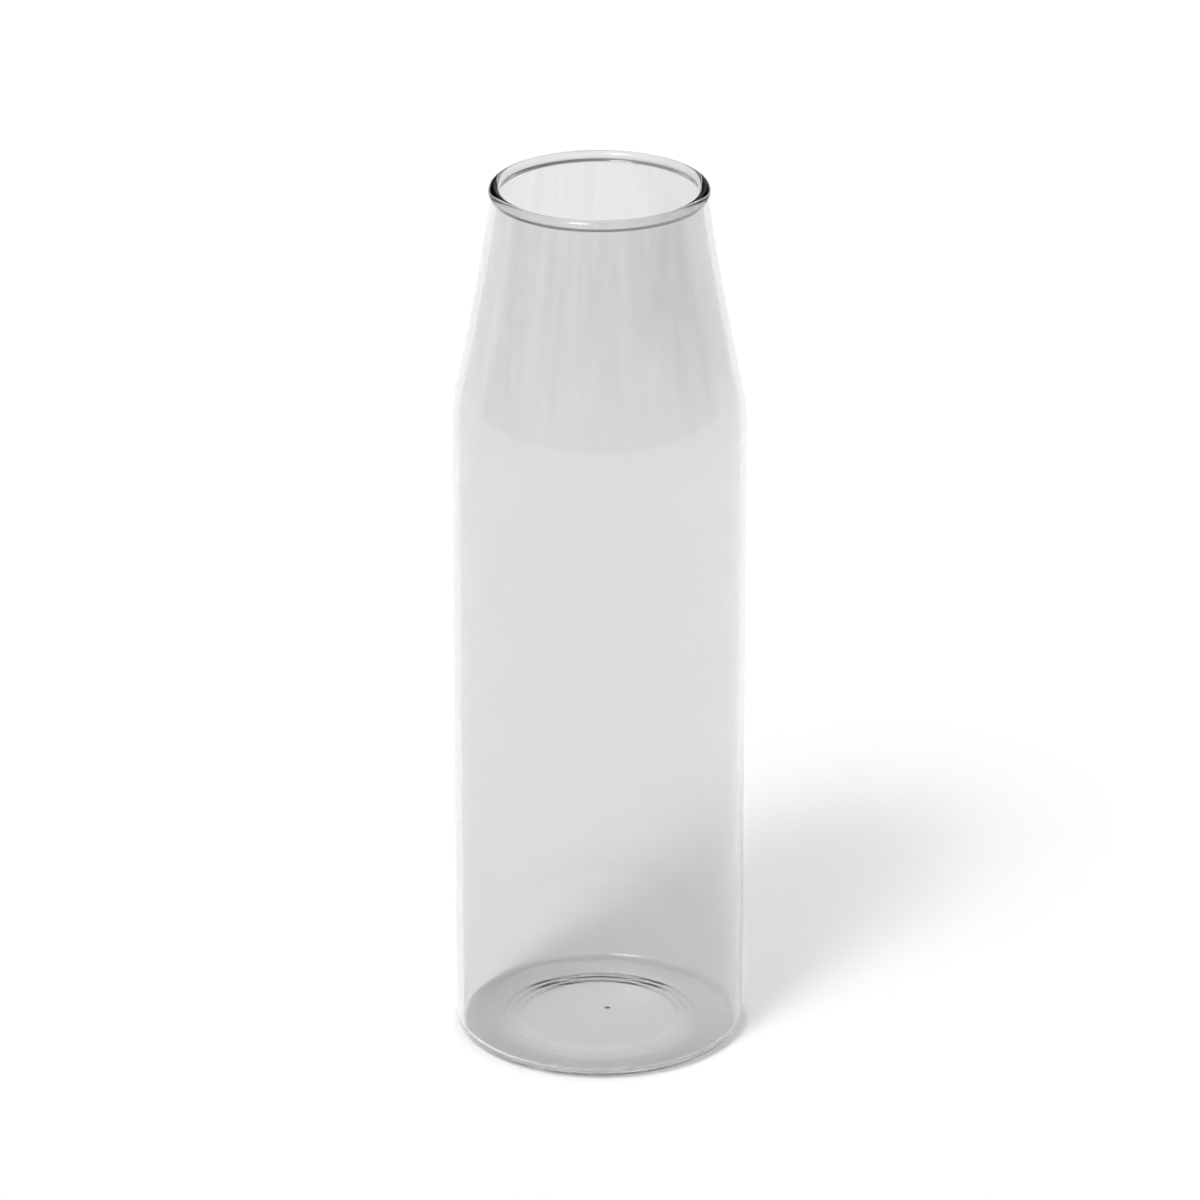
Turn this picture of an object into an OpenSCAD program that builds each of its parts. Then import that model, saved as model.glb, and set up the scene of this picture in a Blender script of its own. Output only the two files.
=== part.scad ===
// Water carafe of clear grey glass, without a handle or a lid.
// A straight body bends in at the shoulder to a leaning neck, and a bead runs round the lip.
// The real glass is one fused piece. Each zone of it is a solid of its own here,
// and neighbouring zones meet face to face on level seams.
// The origin is the centre of the resting face, +Z points up, and lengths are in millimetres.

/* [Body] */
// Outside diameter of the straight body
body_d = 85; // [76:1:100]
// Height from the table to the top of the lip
total_h = 262.7; // [240:0.1:290]
// Height at which the lines of the body and the neck would cross
shoulder_h = 195.5; // [170:0.1:205]
// Outside radius of the bend between body and neck
shoulder_bend_r = 58; // [10:1:90]
// Thickness of the wall
wall_t = 1.8; // [1.2:0.1:2.6]

/* [Neck and lip] */
// Outside diameter of the neck where the lip begins
neck_top_d = 62.1; // [56:0.1:68]
// Lean of the neck just above the shoulder, in degrees from upright
neck_lean = 11.9; // [8:0.1:15]
// How far the bead of the lip stands out from the outside of the neck
lip_out = 1.1; // [0.2:0.1:2]
// How far the bead of the lip stands in from the inside of the neck
lip_in = 0.3; // [0:0.1:1]
// Height over which the wall swells into the bead
lip_swell_h = 1.9; // [1:0.1:5]
// Height of the rounded top of the bead
lip_top_h = 1.7; // [0.8:0.1:4]
// Length of plain wall under the bead that belongs to the lip
lip_root_h = 1; // [0.5:0.1:4]

/* [Base] */
// Thickness of the base over the ring that it stands on
base_t = 1.6; // [1.4:0.1:4]
// Outside radius of the heel, where the body turns under
heel_r = 4; // [1.2:0.1:5]
// Inside radius between the floor and the wall
floor_round_r = 2.4; // [1.4:0.1:4]
// Length of straight wall above the roundings that belongs to the heel
heel_wall_h = 1.5; // [0.5:0.1:10]
// How far the middle of the underside lies above the table
punt_rise = 0.62; // [0.2:0.02:0.8]
// Diameter of the flat middle of the underside
punt_flat_d = 45; // [30:1:52]
// Diameter at which the underside comes down to the table
punt_edge_d = 59.4; // [56:0.2:64]
// Low steps in which the underside comes down
punt_step_count = 3; // [1:1:4]
// Diameter of the small drop of glass on the floor
pip_d = 1.8; // [1:0.1:4]
// Height of the small drop of glass
pip_h = 0.35; // [0.15:0.05:0.45]
// Distance of the small drop from the middle of the floor
pip_offset = 4.8; // [0:0.1:8]
// Direction of the small drop from the middle, in degrees from +X
pip_turn = 60; // [0:1:359]

/* [Hidden] */
$fn = 96;

glass = [0.84, 0.86, 0.86, 0.6];

// Straight pieces in each curved stretch of an outline
bend_steps = 12;
neck_steps = 24;
round_steps = 10;
swell_steps = 12;
top_steps = 20;
punt_round_steps = 3;

body_r = body_d / 2;
inner_r = body_r - wall_t;
neck_top_r = neck_top_d / 2;

// The heel runs from a seam just above the floor to a short way above both of its roundings
heel_seam_share = 0.2;
heel_seam_z = base_t + heel_seam_share * floor_round_r;
floor_round_z = base_t + floor_round_r;
heel_top_z = max(heel_r, floor_round_z) + heel_wall_h;
heel_seam_angle = heel_seam_z < heel_r ? asin(heel_seam_z / heel_r - 1) : 0;
floor_seam_angle = asin(heel_seam_share - 1);

// The bend of the shoulder, from upright to the lean of the neck
bend_start_z = shoulder_h - shoulder_bend_r * tan(neck_lean / 2);
bend_end_z = bend_start_z + shoulder_bend_r * sin(neck_lean);
bend_end_r = body_r - shoulder_bend_r * (1 - cos(neck_lean));

// Levels of the lip: the seam on the neck, the start of the bead, and the widest part of the bead
lip_wide_z = total_h - lip_top_h;
lip_start_z = lip_wide_z - lip_swell_h;
lip_seam_z = lip_start_z - lip_root_h;

// The neck line leaves the bend along its lean, and curves upright as it nears the lip
neck_rise = lip_seam_z - bend_end_z;
neck_curve = neck_top_r - bend_end_r + neck_rise * tan(neck_lean);
neck_top_slope = neck_slope(1);

// The steps of the underside: each one slopes over a share of its pitch, then runs level to the next.
// A slope is straight, and a share of it is rounded at each end.
punt_flat_r = punt_flat_d / 2;
punt_edge_r = punt_edge_d / 2;
punt_slope_share = 0.8;
punt_round_share = 0.1;
punt_pitch = (punt_edge_r - punt_flat_r) / (punt_step_count - 1 + punt_slope_share);

// Thickness of the wall measured level, where the wall leans in by this slope
function level_wall(slope) = wall_t * sqrt(1 + slope * slope);

// Points round an arc, from one angle to another
function arc(middle, radius, from, to) = [
    for (i = [0:round_steps])
        let (angle = from + (to - from) * i / round_steps)
            middle + radius * [cos(angle), sin(angle)]
];

// The same points the other way round
function backwards(points) = [for (i = [len(points) - 1:-1:0]) points[i]];

// Outside of the heel between two angles, where -90 is under the body and 0 is at its side
function heel_arc(from, to) = arc([body_r - heel_r, heel_r], heel_r, from, to);

// Inside rounding between the floor and the wall
function floor_arc(from, to) = arc([inner_r - floor_round_r, floor_round_z], floor_round_r, from, to);

// Slope of the neck line and the point on it, for a share of the neck's rise
function neck_slope(share) = tan(neck_lean) - 2 * share * neck_curve / neck_rise;
function neck_point(share) = [
    bend_end_r - share * neck_rise * tan(neck_lean) + share * share * neck_curve,
    bend_end_z + share * neck_rise
];

// Outside of the wall carried straight on from the neck to a level in the lip
function lip_wall_r(z) = neck_top_r - neck_top_slope * (z - lip_seam_z);

// One side of the swelling bead: the line of the wall, and what stands out from it at the widest part
function swell_line(wall_in, stand_out) = [
    for (i = [0:swell_steps])
        let (share = i / swell_steps, z = lip_start_z + lip_swell_h * share)
            [lip_wall_r(z) - wall_in + stand_out * (1 - cos(180 * share)) / 2, z]
];

// Point on the bend of the shoulder, for an angle from upright
function bend_point(angle) = [
    body_r - shoulder_bend_r * (1 - cos(angle)),
    bend_start_z + shoulder_bend_r * sin(angle)
];

// Shares of a slope's width and of its drop, at the points of its upper and then its lower rounding
function upper_rounding() = [
    for (i = [0:punt_round_steps])
        let (share = punt_round_share * i / punt_round_steps)
            [share, share * share / (2 * punt_round_share * (1 - punt_round_share))]
];
function slope_shares() = concat(
    upper_rounding(),
    [for (point = backwards(upper_rounding())) [1, 1] - point]
);

// The underside, from its flat middle down to the table in low steps
function punt_line() = [
    for (step = [0:punt_step_count - 1], point = slope_shares())
        [
            punt_flat_r + punt_pitch * (step + punt_slope_share * point[0]),
            punt_rise * (1 - (step + point[1]) / punt_step_count)
        ]
];

// Turn an outline about the carafe's axis
module turned(outline) {
    color(glass) rotate_extrude() polygon(outline);
}

// Bead round the mouth, which swells softly from a short length of wall and closes in a rounded top
module lip() {
    wall_in = level_wall(neck_top_slope);
    outside = swell_line(0, lip_out);
    inside = swell_line(wall_in, -lip_in);
    wide_in_r = lip_wall_r(lip_wide_z) - wall_in - lip_in;
    half_w = (wall_in + lip_out + lip_in) / 2;
    rounded_top = [
        for (i = [1:top_steps - 1])
            let (angle = 180 * i / top_steps)
                [wide_in_r + half_w * (1 + cos(angle)), lip_wide_z + lip_top_h * sin(angle)]
    ];
    foot = [[neck_top_r - wall_in, lip_seam_z], [neck_top_r, lip_seam_z]];
    turned(concat(foot, outside, rounded_top, backwards(inside)));
}

// Leaning neck, a little hollow in its line
module neck() {
    outside = [for (i = [0:neck_steps]) neck_point(i / neck_steps)];
    inside = [
        for (i = [0:neck_steps])
            let (share = i / neck_steps)
                neck_point(share) - [level_wall(neck_slope(share)), 0]
    ];
    turned(concat(outside, backwards(inside)));
}

// Bend between the body and the neck
module shoulder() {
    angles = [for (i = [0:bend_steps]) neck_lean * i / bend_steps];
    outside = [for (angle = angles) bend_point(angle)];
    inside = [for (angle = angles) bend_point(angle) - [level_wall(tan(angle)), 0]];
    turned(concat(outside, backwards(inside)));
}

// Straight length of tube
module body() {
    color(glass) rotate_extrude() translate([inner_r, heel_top_z])
        square([wall_t, bend_start_z - heel_top_z]);
}

// Corner ring where the wall turns in to the floor
module heel() {
    turned_side = heel_seam_z < heel_r ? heel_arc(heel_seam_angle, 0) : [[body_r, heel_seam_z]];
    top = [[body_r, heel_top_z], [inner_r, heel_top_z]];
    turned(concat(turned_side, top, floor_arc(0, floor_seam_angle)));
}

// Small drop of glass left on the floor, as a cap cut from a ball and rooted in the base
module pip() {
    ball_r = (pip_d * pip_d / 4 + pip_h * pip_h) / (2 * pip_h);
    root_h = base_t / 4;
    rotate([0, 0, pip_turn]) translate([pip_offset, 0, base_t]) intersection() {
        translate([0, 0, pip_h - ball_r]) sphere(r = ball_r);
        translate([0, 0, -root_h]) cylinder(d = pip_d, h = root_h + pip_h);
    }
}

// Floor of the vessel, level inside and hollowed in steps underneath, so that it stands on a ring
module base() {
    turned_side = heel_seam_z > heel_r ? [[body_r, heel_seam_z]] : [];
    outline = concat(
        [[0, punt_rise]],
        punt_line(),
        heel_arc(-90, heel_seam_angle),
        turned_side,
        floor_arc(floor_seam_angle, -90),
        [[0, base_t]]
    );
    turned(outline);
    color(glass) pip();
}

lip();
neck();
shoulder();
body();
heel();
base();
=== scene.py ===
# %% [markdown]
# # A clear glass water carafe
#
# The real carafe is one piece of glass, worked hot on a lathe from a length of drawn tube: a straight
# body, a soft bend at the shoulder, a leaning neck, a bead melted round the mouth, and a thin base that is
# hollowed underneath. This lesson turns its outline into one closed skin of glass, gives the glass its
# grey tint and the faint waves of drawn tube, and lights it in a pale studio with dark sides.

# %% [markdown]
# ## The frame
#
# The measured model is loaded first, because it fixes where the carafe stands and how large it is. Its
# zones are kept, and are hidden once the glass stands in their place.

# %% Load the frame
import math

import bmesh
import bpy
from mathutils import Matrix, Vector


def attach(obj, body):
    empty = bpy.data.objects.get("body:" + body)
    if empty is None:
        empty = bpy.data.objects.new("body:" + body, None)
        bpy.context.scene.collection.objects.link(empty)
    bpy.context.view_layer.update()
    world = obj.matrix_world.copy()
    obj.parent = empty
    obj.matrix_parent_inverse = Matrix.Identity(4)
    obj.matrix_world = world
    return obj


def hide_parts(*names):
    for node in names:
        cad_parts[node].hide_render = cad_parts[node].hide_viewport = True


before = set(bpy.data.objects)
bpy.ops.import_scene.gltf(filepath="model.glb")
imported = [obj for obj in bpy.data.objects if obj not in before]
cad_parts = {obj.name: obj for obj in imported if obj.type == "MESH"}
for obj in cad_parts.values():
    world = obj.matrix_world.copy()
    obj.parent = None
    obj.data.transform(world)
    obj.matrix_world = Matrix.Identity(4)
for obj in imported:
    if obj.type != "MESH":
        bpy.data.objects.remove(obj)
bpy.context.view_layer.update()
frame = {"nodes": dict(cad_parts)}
print("zones of the measured model:", ", ".join(frame["nodes"]))

# %% [markdown]
# ## The outline
#
# A turned vessel is given by one line: the cut through its wall, on one side of the axis. It could be
# drawn by hand as a curve, but a few sizes and the rules between them give the same line as the measured
# model, in metres. The line starts on the axis under the base, runs up the outside, over the lip and
# down the inside, and ends on the axis at the floor.

# %% Sizes of the carafe
MM = 0.001

body_r = 42.5 * MM
total_h = 262.7 * MM
wall_t = 1.8 * MM
inner_r = body_r - wall_t

shoulder_h = 195.5 * MM
bend_r = 58 * MM
neck_top_r = 31.05 * MM
neck_lean = math.radians(11.9)

print(f"body {2 * body_r / MM:.0f} mm across, carafe {total_h / MM:.1f} mm tall")


# %% Helpers for points on a line
def shares(steps):
    """Even shares from 0 to 1, with both ends."""
    return [step / steps for step in range(steps + 1)]


def straight(start, end, steps):
    """Points along a straight line."""
    return [tuple(Vector(start).lerp(Vector(end), share)) for share in shares(steps)]


def arc(middle, radius, start, end, steps):
    """Points round an arc, from one angle in degrees to another."""
    angles = [math.radians(start + (end - start) * share) for share in shares(steps)]
    return [(middle[0] + radius * math.cos(angle), middle[1] + radius * math.sin(angle)) for angle in angles]


def soft_step(share):
    """A share that leaves 0 and reaches 1 level, so that a swell has no corner."""
    return (1 - math.cos(math.pi * share)) / 2


# %% [markdown]
# The base is thin, level inside, and turns up into the wall in a rounded heel. Its underside is hollowed a
# little, so that the carafe stands on a ring, and comes down from the hollow in three low steps. Seen from
# the front, the far side of each step mirrors the light along the base like a prism, and that draws the
# dark arcs across the floor. The near side lets the light straight through. Painted arcs would stay where
# they are when the carafe is seen from another side, so the steps are real.

# %% Steps of the underside
punt_rise = 0.62 * MM
punt_flat_r = 22.5 * MM
punt_edge_r = 29.7 * MM
punt_step_count = 3
punt_slope_share = 0.8
punt_round_share = 0.1
punt_pitch = (punt_edge_r - punt_flat_r) / (punt_step_count - 1 + punt_slope_share)
slope_steps = 20


def slope_drop(share):
    """How far a straight slope with rounded ends has come down, at a share of its width."""
    if share > 0.5:
        return 1 - slope_drop(1 - share)
    if share < punt_round_share:
        return share * share / (2 * punt_round_share * (1 - punt_round_share))
    return (share - punt_round_share / 2) / (1 - punt_round_share)


punt_line = []
for step in range(punt_step_count):
    for share in shares(slope_steps):
        radius = punt_flat_r + punt_pitch * (step + punt_slope_share * share)
        punt_line.append((radius, punt_rise * (1 - (step + slope_drop(share)) / punt_step_count)))
print(f"hollow {punt_rise / MM:.2f} mm deep, standing ring {2 * punt_edge_r / MM:.1f} mm wide inside")

# %% Base and heel
base_t = 1.6 * MM
heel_r = 4 * MM
floor_round_r = 2.4 * MM
round_steps = 20
flat_steps = 6
ring_steps = 4
floor_steps = 8

# The middle of the floor has close rows, because a small drop of glass is raised from it later
drop_field_r = 6.5 * MM
drop_field_steps = 48

outside_base = (
    straight((0, punt_rise), (punt_flat_r, punt_rise), flat_steps)
    + punt_line
    + straight((punt_edge_r, 0), (body_r - heel_r, 0), ring_steps)
    + arc((body_r - heel_r, heel_r), heel_r, -90, 0, round_steps)
)
inside_base = (
    arc((inner_r - floor_round_r, base_t + floor_round_r), floor_round_r, 0, -90, round_steps)
    + straight((inner_r - floor_round_r, base_t), (drop_field_r, base_t), floor_steps)
    + straight((drop_field_r, base_t), (0, base_t), drop_field_steps)
)
print(f"base {base_t / MM:.1f} mm thick, heel {heel_r / MM:.0f} mm in radius")

# %% [markdown]
# Above the straight tube, the shoulder is an arc that bends in to the lean of the neck. The neck leaves
# the arc along that lean and straightens a little towards the lip, so its line is slightly hollow. The
# wall keeps its thickness, so the inside follows the outside at a distance that grows with the slope.

# %% Shoulder and neck
bend_start_z = shoulder_h - bend_r * math.tan(neck_lean / 2)
bend_end_z = bend_start_z + bend_r * math.sin(neck_lean)
bend_end_r = body_r - bend_r * (1 - math.cos(neck_lean))
bend_steps = 16

lip_top_h = 1.7 * MM
lip_swell_h = 1.9 * MM
lip_root_h = 1 * MM
lip_wide_z = total_h - lip_top_h
lip_start_z = lip_wide_z - lip_swell_h
lip_seam_z = lip_start_z - lip_root_h

neck_rise = lip_seam_z - bend_end_z
neck_curve = neck_top_r - bend_end_r + neck_rise * math.tan(neck_lean)
neck_top_slope = math.tan(neck_lean) - 2 * neck_curve / neck_rise
neck_steps = 24

sloped_wall = []
for share in shares(bend_steps):
    angle = neck_lean * share
    bend_in = bend_r * (1 - math.cos(angle))
    sloped_wall.append((body_r - bend_in, bend_start_z + bend_r * math.sin(angle), math.tan(angle)))
for share in shares(neck_steps):
    radius = bend_end_r - share * neck_rise * math.tan(neck_lean) + share * share * neck_curve
    slope = math.tan(neck_lean) - 2 * share * neck_curve / neck_rise
    sloped_wall.append((radius, bend_end_z + share * neck_rise, slope))

outside_neck = [(radius, z) for radius, z, slope in sloped_wall]
inside_neck = [(radius - wall_t * math.hypot(1, slope), z) for radius, z, slope in reversed(sloped_wall)]
print(f"shoulder from {bend_start_z / MM:.1f} mm to {bend_end_z / MM:.1f} mm")
print(f"neck up to {lip_seam_z / MM:.1f} mm")

# %% [markdown]
# The lip was melted until it drew itself into a bead. It swells softly out of the wall, mostly outwards,
# and closes in a rounded top. A plain torus on the rim would meet the wall in a sharp groove and lose the
# dark glints that run round a melted bead, so the swell is part of the outline.

# %% Lip
lip_out = 1.1 * MM
lip_in = 0.3 * MM
lip_wall = wall_t * math.hypot(1, neck_top_slope)
swell_steps = 18
top_steps = 28


def lip_side(inset, stand_out):
    """One side of the bead: the line of the wall, and what stands out from it at the widest part."""
    side = []
    for share in shares(swell_steps):
        z = lip_start_z + lip_swell_h * share
        wall_r = neck_top_r - neck_top_slope * (z - lip_seam_z)
        side.append((wall_r - inset + stand_out * soft_step(share), z))
    return side


outside_lip = lip_side(0, lip_out)
inside_lip = lip_side(lip_wall, -lip_in)[::-1]
bead_middle_r = (outside_lip[-1][0] + inside_lip[0][0]) / 2
bead_half = (outside_lip[-1][0] - inside_lip[0][0]) / 2
rounded_top = []
for share in shares(top_steps):
    radius = bead_middle_r + bead_half * math.cos(math.pi * share)
    rounded_top.append((radius, lip_wide_z + lip_top_h * math.sin(math.pi * share)))
print(f"bead {2 * bead_half / MM:.2f} mm thick, mouth {2 * inside_lip[0][0] / MM:.1f} mm wide")

# %% [markdown]
# The stretches are joined in order. Where one ends and the next begins they share a point, which is kept
# once, because a doubled point would give a ring of faces without width.

# %% Whole outline
same_point = 0.001 * MM
wall_steps = 24
outside_wall = straight((body_r, heel_r), (body_r, bend_start_z), wall_steps)
inside_wall = straight((inner_r, bend_start_z), (inner_r, base_t + floor_round_r), wall_steps)

outline = []
for point in (
    outside_base + outside_wall + outside_neck + outside_lip
    + rounded_top
    + inside_lip + inside_neck + inside_wall + inside_base
):
    if not outline or math.dist(point, outline[-1]) > same_point:
        outline.append(point)
print("points in the outline:", len(outline))

# %% [markdown]
# ## Nodes from Python
#
# Geometry Nodes and shaders are both built from nodes. Placing each node by hand makes long code that
# hides the sums, so two small classes do it. A `Wire` stands for a socket and can be used in sums, each of
# which adds a Math node. A `Bench` holds a tree and puts any other node on it.


# %% A socket that can be used in sums
class Wire:
    """A socket of a node tree. Each operator adds one Math node."""

    def __init__(self, bench, socket):
        self.bench = bench
        self.socket = socket

    def math(self, operation, *others):
        return self.bench.node("ShaderNodeMath", {"operation": operation}, (self, *others))

    def __add__(self, other):
        return self.math("ADD", other)

    def __sub__(self, other):
        return self.math("SUBTRACT", other)

    def __mul__(self, other):
        return self.math("MULTIPLY", other)

    def __truediv__(self, other):
        return self.math("DIVIDE", other)

    def __rsub__(self, other):
        return self.bench.node("ShaderNodeMath", {"operation": "SUBTRACT"}, (other, self))

    __radd__ = __add__
    __rmul__ = __mul__


# %% A tree to put nodes on
class Bench:
    """A node tree, with one way to put a node on it."""

    def __init__(self, tree):
        self.tree = tree
        tree.nodes.clear()

    def node(self, kind, settings=None, sockets=(), out=0):
        """A new node. Its sockets are given in order, or by name or number."""
        made = self.tree.nodes.new(kind)
        for name, value in (settings or {}).items():
            setattr(made, name, value)
        keyed = sockets if isinstance(sockets, dict) else dict(enumerate(sockets))
        for key, value in keyed.items():
            if isinstance(value, Wire):
                self.tree.links.new(value.socket, made.inputs[key])
            else:
                made.inputs[key].default_value = value
        return Wire(self, made.outputs[out]) if made.outputs else None

    def smooth(self, value, start, end):
        """0 before one value, 1 after another, and smooth between."""
        sockets = {"Value": value, "From Min": start, "From Max": end}
        return self.node("ShaderNodeMapRange", {"interpolation_type": "SMOOTHSTEP"}, sockets)

    def mixed(self, share, first, second):
        """A colour between two others. A Mix node has its colours at sockets 6 and 7, and at output 2."""
        return self.node("ShaderNodeMix", {"data_type": "RGBA"}, {0: share, 6: first, 7: second}, out=2)


# %% [markdown]
# ## The glass
#
# The glass is clear with a slight grey tint. A tint in a volume would be exact, but does not survive the
# export, so the tint is the base colour of a transmitting surface: each wall that light passes takes a
# little of it. The neck is painted greyer, in streaks that run up it and are denser on its right: painted
# shade and painted reflections, for the darker room seen in and through the neck. The base is painted
# paler, and most of all its hollow: painted light, for the light that reaches the paper under it. Drawn
# tube also has faint waves along its length, which bend the surface by a few thousandths of a millimetre.

# %% Waves along the tube, and streaks for the painted reflections on the neck
WAVE_SCALE = (90, 90, 7)
STREAK_SCALE = (420, 420, 3)
WAVE_HEIGHT = 0.005 * MM

glass = bpy.data.materials.new("clear_grey_glass")
glass.use_nodes = True
bench = Bench(glass.node_tree)
place = bench.node("ShaderNodeTexCoord", out="Object")
east, north, level = (bench.node("ShaderNodeSeparateXYZ", sockets=[place], out=axis) for axis in "XYZ")


def drawn_noise(scale):
    """Noise that is drawn out along the tube. The scale says how often it changes in a metre."""
    drawn = bench.node("ShaderNodeMapping", sockets={"Vector": place, "Scale": scale})
    return bench.node("ShaderNodeTexNoise", sockets={"Vector": drawn, "Scale": 1, "Detail": 2})


waves = drawn_noise(WAVE_SCALE)
# Streaks for the painted reflections on the neck
painted_streaks = drawn_noise(STREAK_SCALE)
wavy = bench.node("ShaderNodeBump", sockets={"Strength": 1, "Distance": WAVE_HEIGHT, "Height": waves})


# %% Tint of the body, with painted shade on the neck and painted light on the base
def grey(value):
    """A grey colour."""
    return (value, value, value, 1)


BODY_TINT = grey(0.838)
# The grey of the neck is painted shade
NECK_PAINTED_SHADE = grey(0.71)
# The paler grey of the base is painted light
BASE_PAINTED_LIGHT = grey(0.985)
STREAK_WEIGHT = 0.9
# How much more painted shade the right side of the neck gets
RIGHT_SHADE_WEIGHT = 0.4
# The painted shade on the neck starts where the waves, the streaks and its right side together come to more
# than this
CLEAR_UP_TO = 0.7

# Painted shade and painted reflection streaks up the neck, darker on its right side
painted_neck_zone = bench.smooth(level, 180 * MM, 220 * MM)
painted_right_shade = bench.smooth(east, 2 * MM, 22 * MM)
painted_neck_shade = waves + painted_streaks * STREAK_WEIGHT + painted_right_shade * RIGHT_SHADE_WEIGHT - CLEAR_UP_TO
tint_and_neck_shade = bench.mixed(painted_neck_zone * painted_neck_shade, BODY_TINT, NECK_PAINTED_SHADE)

# Painted light: the base, and most of all its hollow, is given a paler tint
from_axis = (east * east + north * north).math("SQRT")
painted_base_light = (1 - bench.smooth(from_axis, 20 * MM, 38 * MM)) * (1 - bench.smooth(level, 2.5 * MM, 4 * MM))
tint_shade_and_light = bench.mixed(painted_base_light, tint_and_neck_shade, BASE_PAINTED_LIGHT)

# %% Clear grey glass
surface = bench.node(
    "ShaderNodeBsdfPrincipled",
    sockets={
        "Base Color": tint_shade_and_light,
        "Roughness": 0,
        "IOR": 1.47,
        "Transmission Weight": 1,
        "Normal": wavy,
    },
)
bench.node("ShaderNodeOutputMaterial", sockets={"Surface": surface})
print("glass nodes:", len(glass.node_tree.nodes))

# %% [markdown]
# ## Turning the outline
#
# A Screw modifier or a spin could turn the outline, but a Geometry Nodes tree keeps the rule in view: a
# grid has one row for each point of the outline and one column for each step of the turn, and each of its
# points is moved to its place on the circle. Points that meet at the seam and on the axis are merged.

# %% Inputs of the turning tree
turning = bpy.data.node_groups.new("turn_the_outline", "GeometryNodeTree")
bench = Bench(turning)
for name, kind in {
    "Outline": "NodeSocketGeometry",
    "Turn steps": "NodeSocketInt",
    "Drop place": "NodeSocketVector",
    "Drop diameter": "NodeSocketFloat",
    "Drop height": "NodeSocketFloat",
    "Finish": "NodeSocketMaterial",
}.items():
    turning.interface.new_socket(name, in_out="INPUT", socket_type=kind)
turning.interface.new_socket("Glass", in_out="OUTPUT", socket_type="NodeSocketGeometry")


def given(name):
    """One of the tree's inputs."""
    return bench.node("NodeGroupInput", out=name)


# %% Grid to turned skin
MERGE_WITHIN = 0.0005 * MM

columns = given("Turn steps") + 1
rows = bench.node(
    "GeometryNodeAttributeDomainSize", {"component": "MESH"}, [given("Outline")], out="Point Count"
)
grid = bench.node("GeometryNodeMeshGrid", sockets={"Vertices X": rows, "Vertices Y": columns}, out="Mesh")

index = bench.node("GeometryNodeInputIndex")
row = (index / columns).math("FLOOR")
angle = (index - row * columns) / given("Turn steps") * math.tau

position = bench.node("GeometryNodeInputPosition")
section = bench.node(
    "GeometryNodeSampleIndex",
    {"data_type": "FLOAT_VECTOR"},
    {"Geometry": given("Outline"), "Value": position, "Index": row},
)
radius = bench.node("ShaderNodeSeparateXYZ", sockets=[section], out="X")
height = bench.node("ShaderNodeSeparateXYZ", sockets=[section], out="Z")
on_circle = bench.node(
    "ShaderNodeCombineXYZ",
    sockets=[radius * angle.math("COSINE"), radius * angle.math("SINE"), height],
)
turned = bench.node("GeometryNodeSetPosition", sockets={"Geometry": grid, "Position": on_circle})
merged = bench.node("GeometryNodeMergeByDistance", sockets={"Geometry": turned, "Distance": MERGE_WITHIN})
skin = bench.node("GeometryNodeFlipFaces", sockets=[merged])

# %% [markdown]
# A small drop of glass stands on the floor, as can be left where a base is closed in the flame. It could
# be a ball of its own, sunk into the floor, but clear glass would show the hidden half. So it is raised
# out of the same skin, as the cap of a ball.

# %% Drop on the floor
FLOOR_BAND = 0.1 * MM

from_drop = bench.node("ShaderNodeVectorMath", {"operation": "SUBTRACT"}, [position, given("Drop place")])
aside, beyond, above = (bench.node("ShaderNodeSeparateXYZ", sockets=[from_drop], out=axis) for axis in "XYZ")
apart_squared = aside * aside + beyond * beyond
drop_r = given("Drop diameter") / 2
ball_r = (drop_r * drop_r + given("Drop height") * given("Drop height")) / (given("Drop height") * 2)
cap = (ball_r * ball_r - apart_squared).math("SQRT") - (ball_r - given("Drop height"))
on_floor = above.math("ABSOLUTE").math("LESS_THAN", FLOOR_BAND)
lift = bench.node("ShaderNodeCombineXYZ", sockets={"Z": cap.math("MAXIMUM", 0) * on_floor})
with_drop = bench.node("GeometryNodeSetPosition", sockets={"Geometry": skin, "Offset": lift})

# %% Finish of the tree
smoothed = bench.node("GeometryNodeSetShadeSmooth", sockets=[with_drop])
realized = bench.node("GeometryNodeRealizeInstances", sockets=[smoothed])
finished = bench.node("GeometryNodeSetMaterial", sockets={"Geometry": realized, "Material": given("Finish")})
bench.node("NodeGroupOutput", sockets={"Glass": finished})
print("turning nodes:", len(turning.nodes))

# %% [markdown]
# The tree runs as a modifier on a mesh that holds only the outline. What it makes is kept as a plain mesh,
# and the outline is thrown away.

# %% Turn the glass
outline_mesh = bpy.data.meshes.new("outline")
outline_mesh.from_pydata([(r, 0, z) for r, z in outline], [(i, i + 1) for i in range(len(outline) - 1)], [])
lathe = bpy.data.objects.new("lathe", outline_mesh)
bpy.context.scene.collection.objects.link(lathe)

modifier = lathe.modifiers.new("turn", "NODES")
modifier.node_group = turning
inputs = {item.name: item.identifier for item in turning.interface.items_tree if item.in_out == "INPUT"}
drop_offset = 4.8 * MM
drop_turn = math.radians(60)
for name, value in {
    "Turn steps": 256,
    "Drop place": (drop_offset * math.cos(drop_turn), drop_offset * math.sin(drop_turn), base_t),
    "Drop diameter": 1.8 * MM,
    "Drop height": 0.35 * MM,
    "Finish": glass,
}.items():
    modifier[inputs[name]] = value

evaluated = lathe.evaluated_get(bpy.context.evaluated_depsgraph_get())
carafe_mesh = bpy.data.meshes.new_from_object(evaluated)
carafe_mesh.name = "carafe_glass"
carafe = bpy.data.objects.new("carafe_glass", carafe_mesh)
bpy.context.scene.collection.objects.link(carafe)
bpy.data.objects.remove(lathe)
bpy.data.meshes.remove(outline_mesh)

# %% [markdown]
# Light bends the right way only through a closed skin that faces outward, so its edges are counted and its
# volume is weighed as glass. One skin then stands for all six zones of the measured model, because a seam
# inside clear glass would show.

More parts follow.
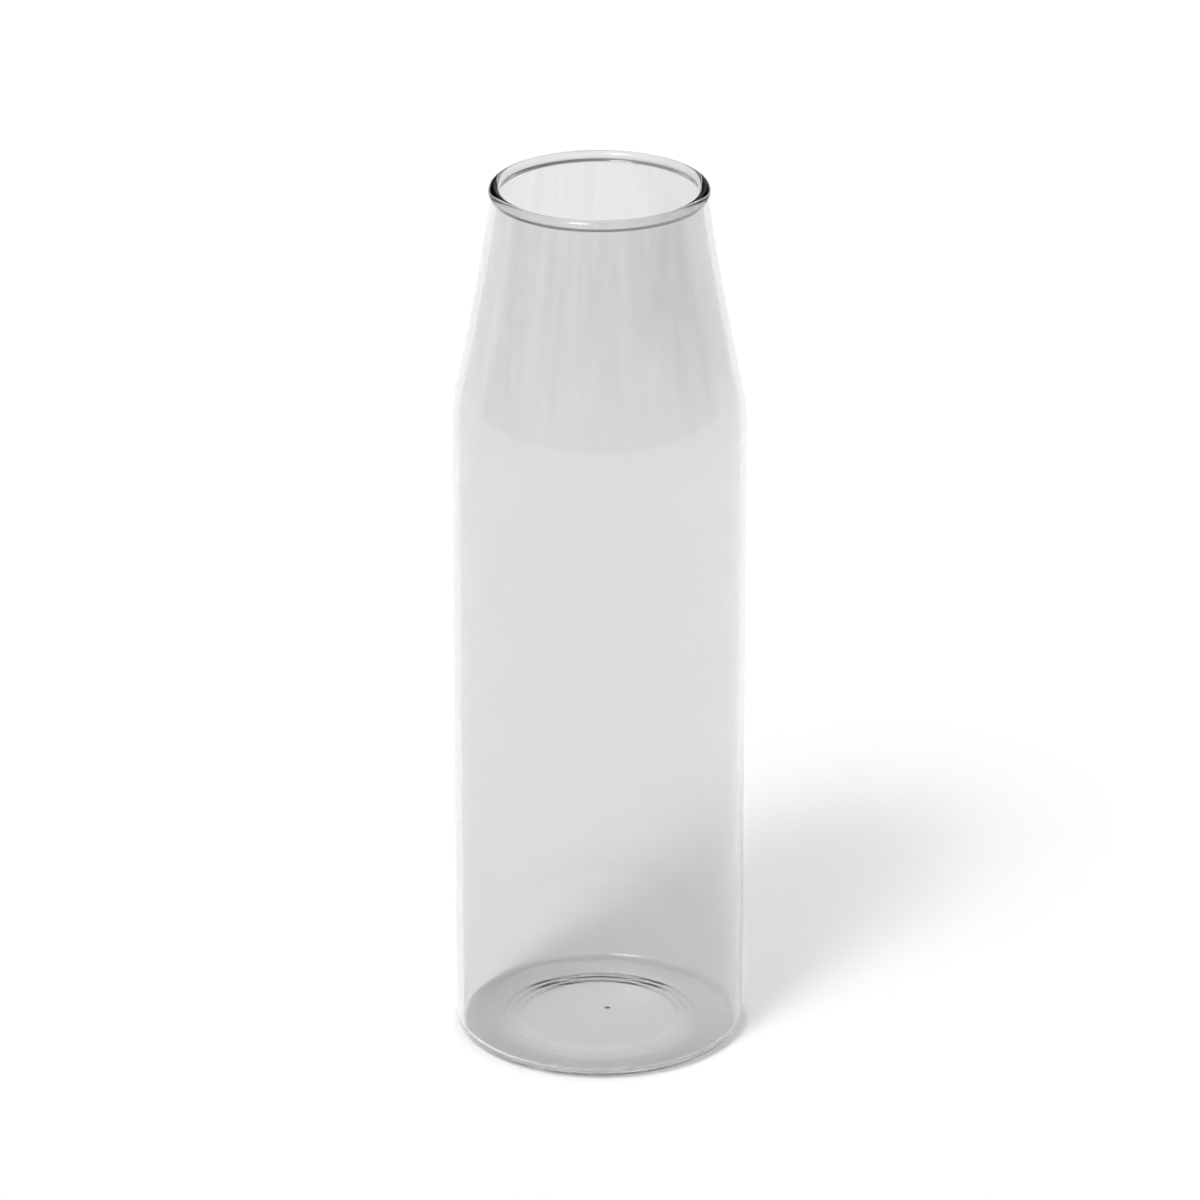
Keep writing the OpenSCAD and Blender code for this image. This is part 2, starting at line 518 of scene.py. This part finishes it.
# %% Measure the glass
GLASS_DENSITY = 2500

skin_check = bmesh.new()
skin_check.from_mesh(carafe_mesh)
open_edges = sum(not edge.is_manifold for edge in skin_check.edges)
mass = skin_check.calc_volume(signed=True) * GLASS_DENSITY
skin_check.free()
triangles = sum(len(face.vertices) - 2 for face in carafe_mesh.polygons)
print(f"{triangles} triangles, {open_edges} open edges, {mass:.3f} kg of glass")

# %% Place the glass in the frame
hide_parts("lip", "neck", "shoulder", "body", "heel", "base")
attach(carafe, "root")

# %% [markdown]
# ## The studio
#
# Clear glass shows nothing but its surroundings, so the studio is part of the likeness. The carafe stands
# on a round of white paper whose colour is painted darker towards its rim, a painted shade, and a plain grey
# wall stands beyond it. Towards the camera, the upright body mirrors the paper and the leaning neck mirrors
# the wall in front. So the neck is darker, down to a clean edge along the shoulder. A tint alone would not
# end in such an edge.

# %% White paper
PAPER_R = 1.9
PAPER_FADE_R = 1.5
PAPER_WHITE = grey(0.97)
# The grey at the rim of the paper is painted shade
PAPER_SHADE = grey(0.55)
# The paper lies a hair below the glass, so that the two do not share a face
PAPER_DEPTH = 0.1 * MM

floor_mesh = bpy.data.meshes.new("floor")
disc = bmesh.new()
bmesh.ops.create_circle(disc, cap_ends=True, segments=96, radius=PAPER_R)
disc.to_mesh(floor_mesh)
disc.free()
floor_mesh.transform(Matrix.Translation((0, 0, -PAPER_DEPTH)))
floor = bpy.data.objects.new("floor", floor_mesh)
bpy.context.scene.collection.objects.link(floor)

paper = bpy.data.materials.new("white_paper")
paper.use_nodes = True
bench = Bench(paper.node_tree)
place = bench.node("ShaderNodeTexCoord", out="Object")
from_middle = bench.node("ShaderNodeVectorMath", {"operation": "LENGTH"}, [place], out="Value")
# Painted shade: the paper's colour turns grey towards its rim
rim_shade = bench.smooth(from_middle, PAPER_FADE_R, PAPER_R)
matt = bench.node("ShaderNodeBsdfDiffuse", sockets={"Color": bench.mixed(rim_shade, PAPER_WHITE, PAPER_SHADE)})
bench.node("ShaderNodeOutputMaterial", sockets={"Surface": matt})
floor_mesh.materials.append(paper)
print(f"paper {2 * PAPER_R:.1f} m across")

# %% [markdown]
# The room is painted on the world, by degrees above the horizon and degrees round from straight behind the
# carafe. Lamps and boards could do the same, but each would need a shape and a place that looks right in
# every bend of the glass. Low down is the grey wall, paler behind the carafe, and overhead is a bright
# ceiling.

# %% Directions in the studio
studio = bpy.data.worlds.new("pale_studio")
studio.use_nodes = True
bpy.context.scene.world = studio
bench = Bench(studio.node_tree)
toward = bench.node("ShaderNodeTexCoord", out="Generated")
to_right, to_back, up = (bench.node("ShaderNodeSeparateXYZ", sockets=[toward], out=axis) for axis in "XYZ")
rise = up.math("ARCSINE").math("DEGREES")
bearing = to_right.math("ARCTAN2", to_back).math("DEGREES")
turn_away = bearing.math("ABSOLUTE")

# %% Low wall and ceiling
WALL = 0.55
BACKDROP = 0.85
CEILING = 0.74

behind = 1 - bench.smooth(turn_away, 3, 30)
low_wall = WALL + behind * (BACKDROP - WALL)
low_down = 1 - bench.smooth(rise, 3.5, 5.5)
overhead = bench.smooth(rise, 24, 32)

# %% [markdown]
# Between the wall and the ceiling the room is dark at the sides, and the edges and the bead bend this dark
# into view. A narrow bright field behind the carafe and a wide one in front leave gaps in it, which split
# the dark ring of the bead into two crescents. A small key light high on the left front casts the shadow.

# %% Dark sides and bright fields
DARK = 0.015
FIELD_BEHIND = 0.3
FIELD_IN_FRONT = 0.6
FIELD_BEARING = 6

field_behind = 1 - bench.smooth((bearing - FIELD_BEARING).math("ABSOLUTE"), 2, 14)
field_in_front = bench.smooth(turn_away, 95, 125)
between = 1 - low_down - overhead
upper_wall = DARK + field_behind * FIELD_BEHIND + field_in_front * FIELD_IN_FRONT

# %% Key light
KEY_PEAK = 32
key_direction = Vector((-0.281, -0.458, 0.843)).normalized()
key_spread = math.radians(5)

# For small angles, 1 less the cosine is half the angle squared, so the key falls off as a bell curve
toward_key = bench.node(
    "ShaderNodeVectorMath", {"operation": "DOT_PRODUCT"}, [toward, key_direction], out="Value"
)
key = ((toward_key - 1) / key_spread**2).math("EXPONENT")

# %% Paint the studio
brightness = low_down * low_wall + overhead * CEILING + between * upper_wall + key * KEY_PEAK
background = bench.node("ShaderNodeBackground", sockets={"Color": grey(1), "Strength": brightness})
bench.node("ShaderNodeOutputWorld", sockets={"Surface": background})
print("studio nodes:", len(studio.node_tree.nodes))

# %% [markdown]
# ## The camera
#
# A long lens from well back keeps the sides of the body almost parallel. Its distance, height and focal
# length come from the outline of the carafe in the photograph.

# %% Camera
camera_data = bpy.data.cameras.new("camera")
camera_data.sensor_width = 36
camera_data.lens = 229.324
camera = bpy.data.objects.new("camera", camera_data)
bpy.context.scene.collection.objects.link(camera)
bpy.context.scene.camera = camera

look_down = math.radians(22.562)
distance = 2226.733 * MM
aim = Vector((0.16, 0, 134.682)) * MM
camera.location = aim + distance * Vector((0, -math.cos(look_down), math.sin(look_down)))
camera.rotation_euler = (math.pi / 2 - look_down, 0, 0)
print(f"camera {camera.location.z:.2f} m above the paper, {distance:.2f} m from the carafe")

# %% [markdown]
# A ray that crosses the carafe passes at least four faces, and in the bead and the base it is mirrored many
# times more. With the usual number of bounces such rays would end in black, so more are allowed.

# %% Light through glass
BOUNCES = 24

scene = bpy.context.scene
scene.view_settings.view_transform = "Standard"
scene.cycles.max_bounces = BOUNCES
scene.cycles.transmission_bounces = BOUNCES
scene.cycles.glossy_bounces = BOUNCES
scene.cycles.blur_glossy = 0
